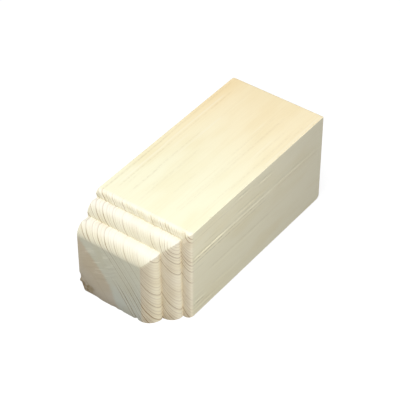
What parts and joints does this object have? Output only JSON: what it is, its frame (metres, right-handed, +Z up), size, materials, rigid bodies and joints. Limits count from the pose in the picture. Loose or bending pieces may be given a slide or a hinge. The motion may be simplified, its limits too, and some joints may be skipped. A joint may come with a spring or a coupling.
{
  "type": "cornice corner block",
  "caption": "Softwood block for an inside cornice corner, nearly square in section, moulded with stepped rounds on two edges of one end and plain elsewhere.",
  "frame": {"origin": "middle of the footprint on the plain face that it lies on", "axes": "+Y along the grain from the moulded end to the plain far end, +Z up to the top face whose near edge is moulded, +X to the right face whose near edge is moulded"},
  "size_m": [0.07, 0.16, 0.067],
  "materials": {
    "pale_softwood": "bare planed and sanded pale softwood, matte, fine growth rings, end grain a little darker"
  },
  "bodies": {
    "root": {"corner_block": "pale_softwood"}
  },
  "joints": []
}
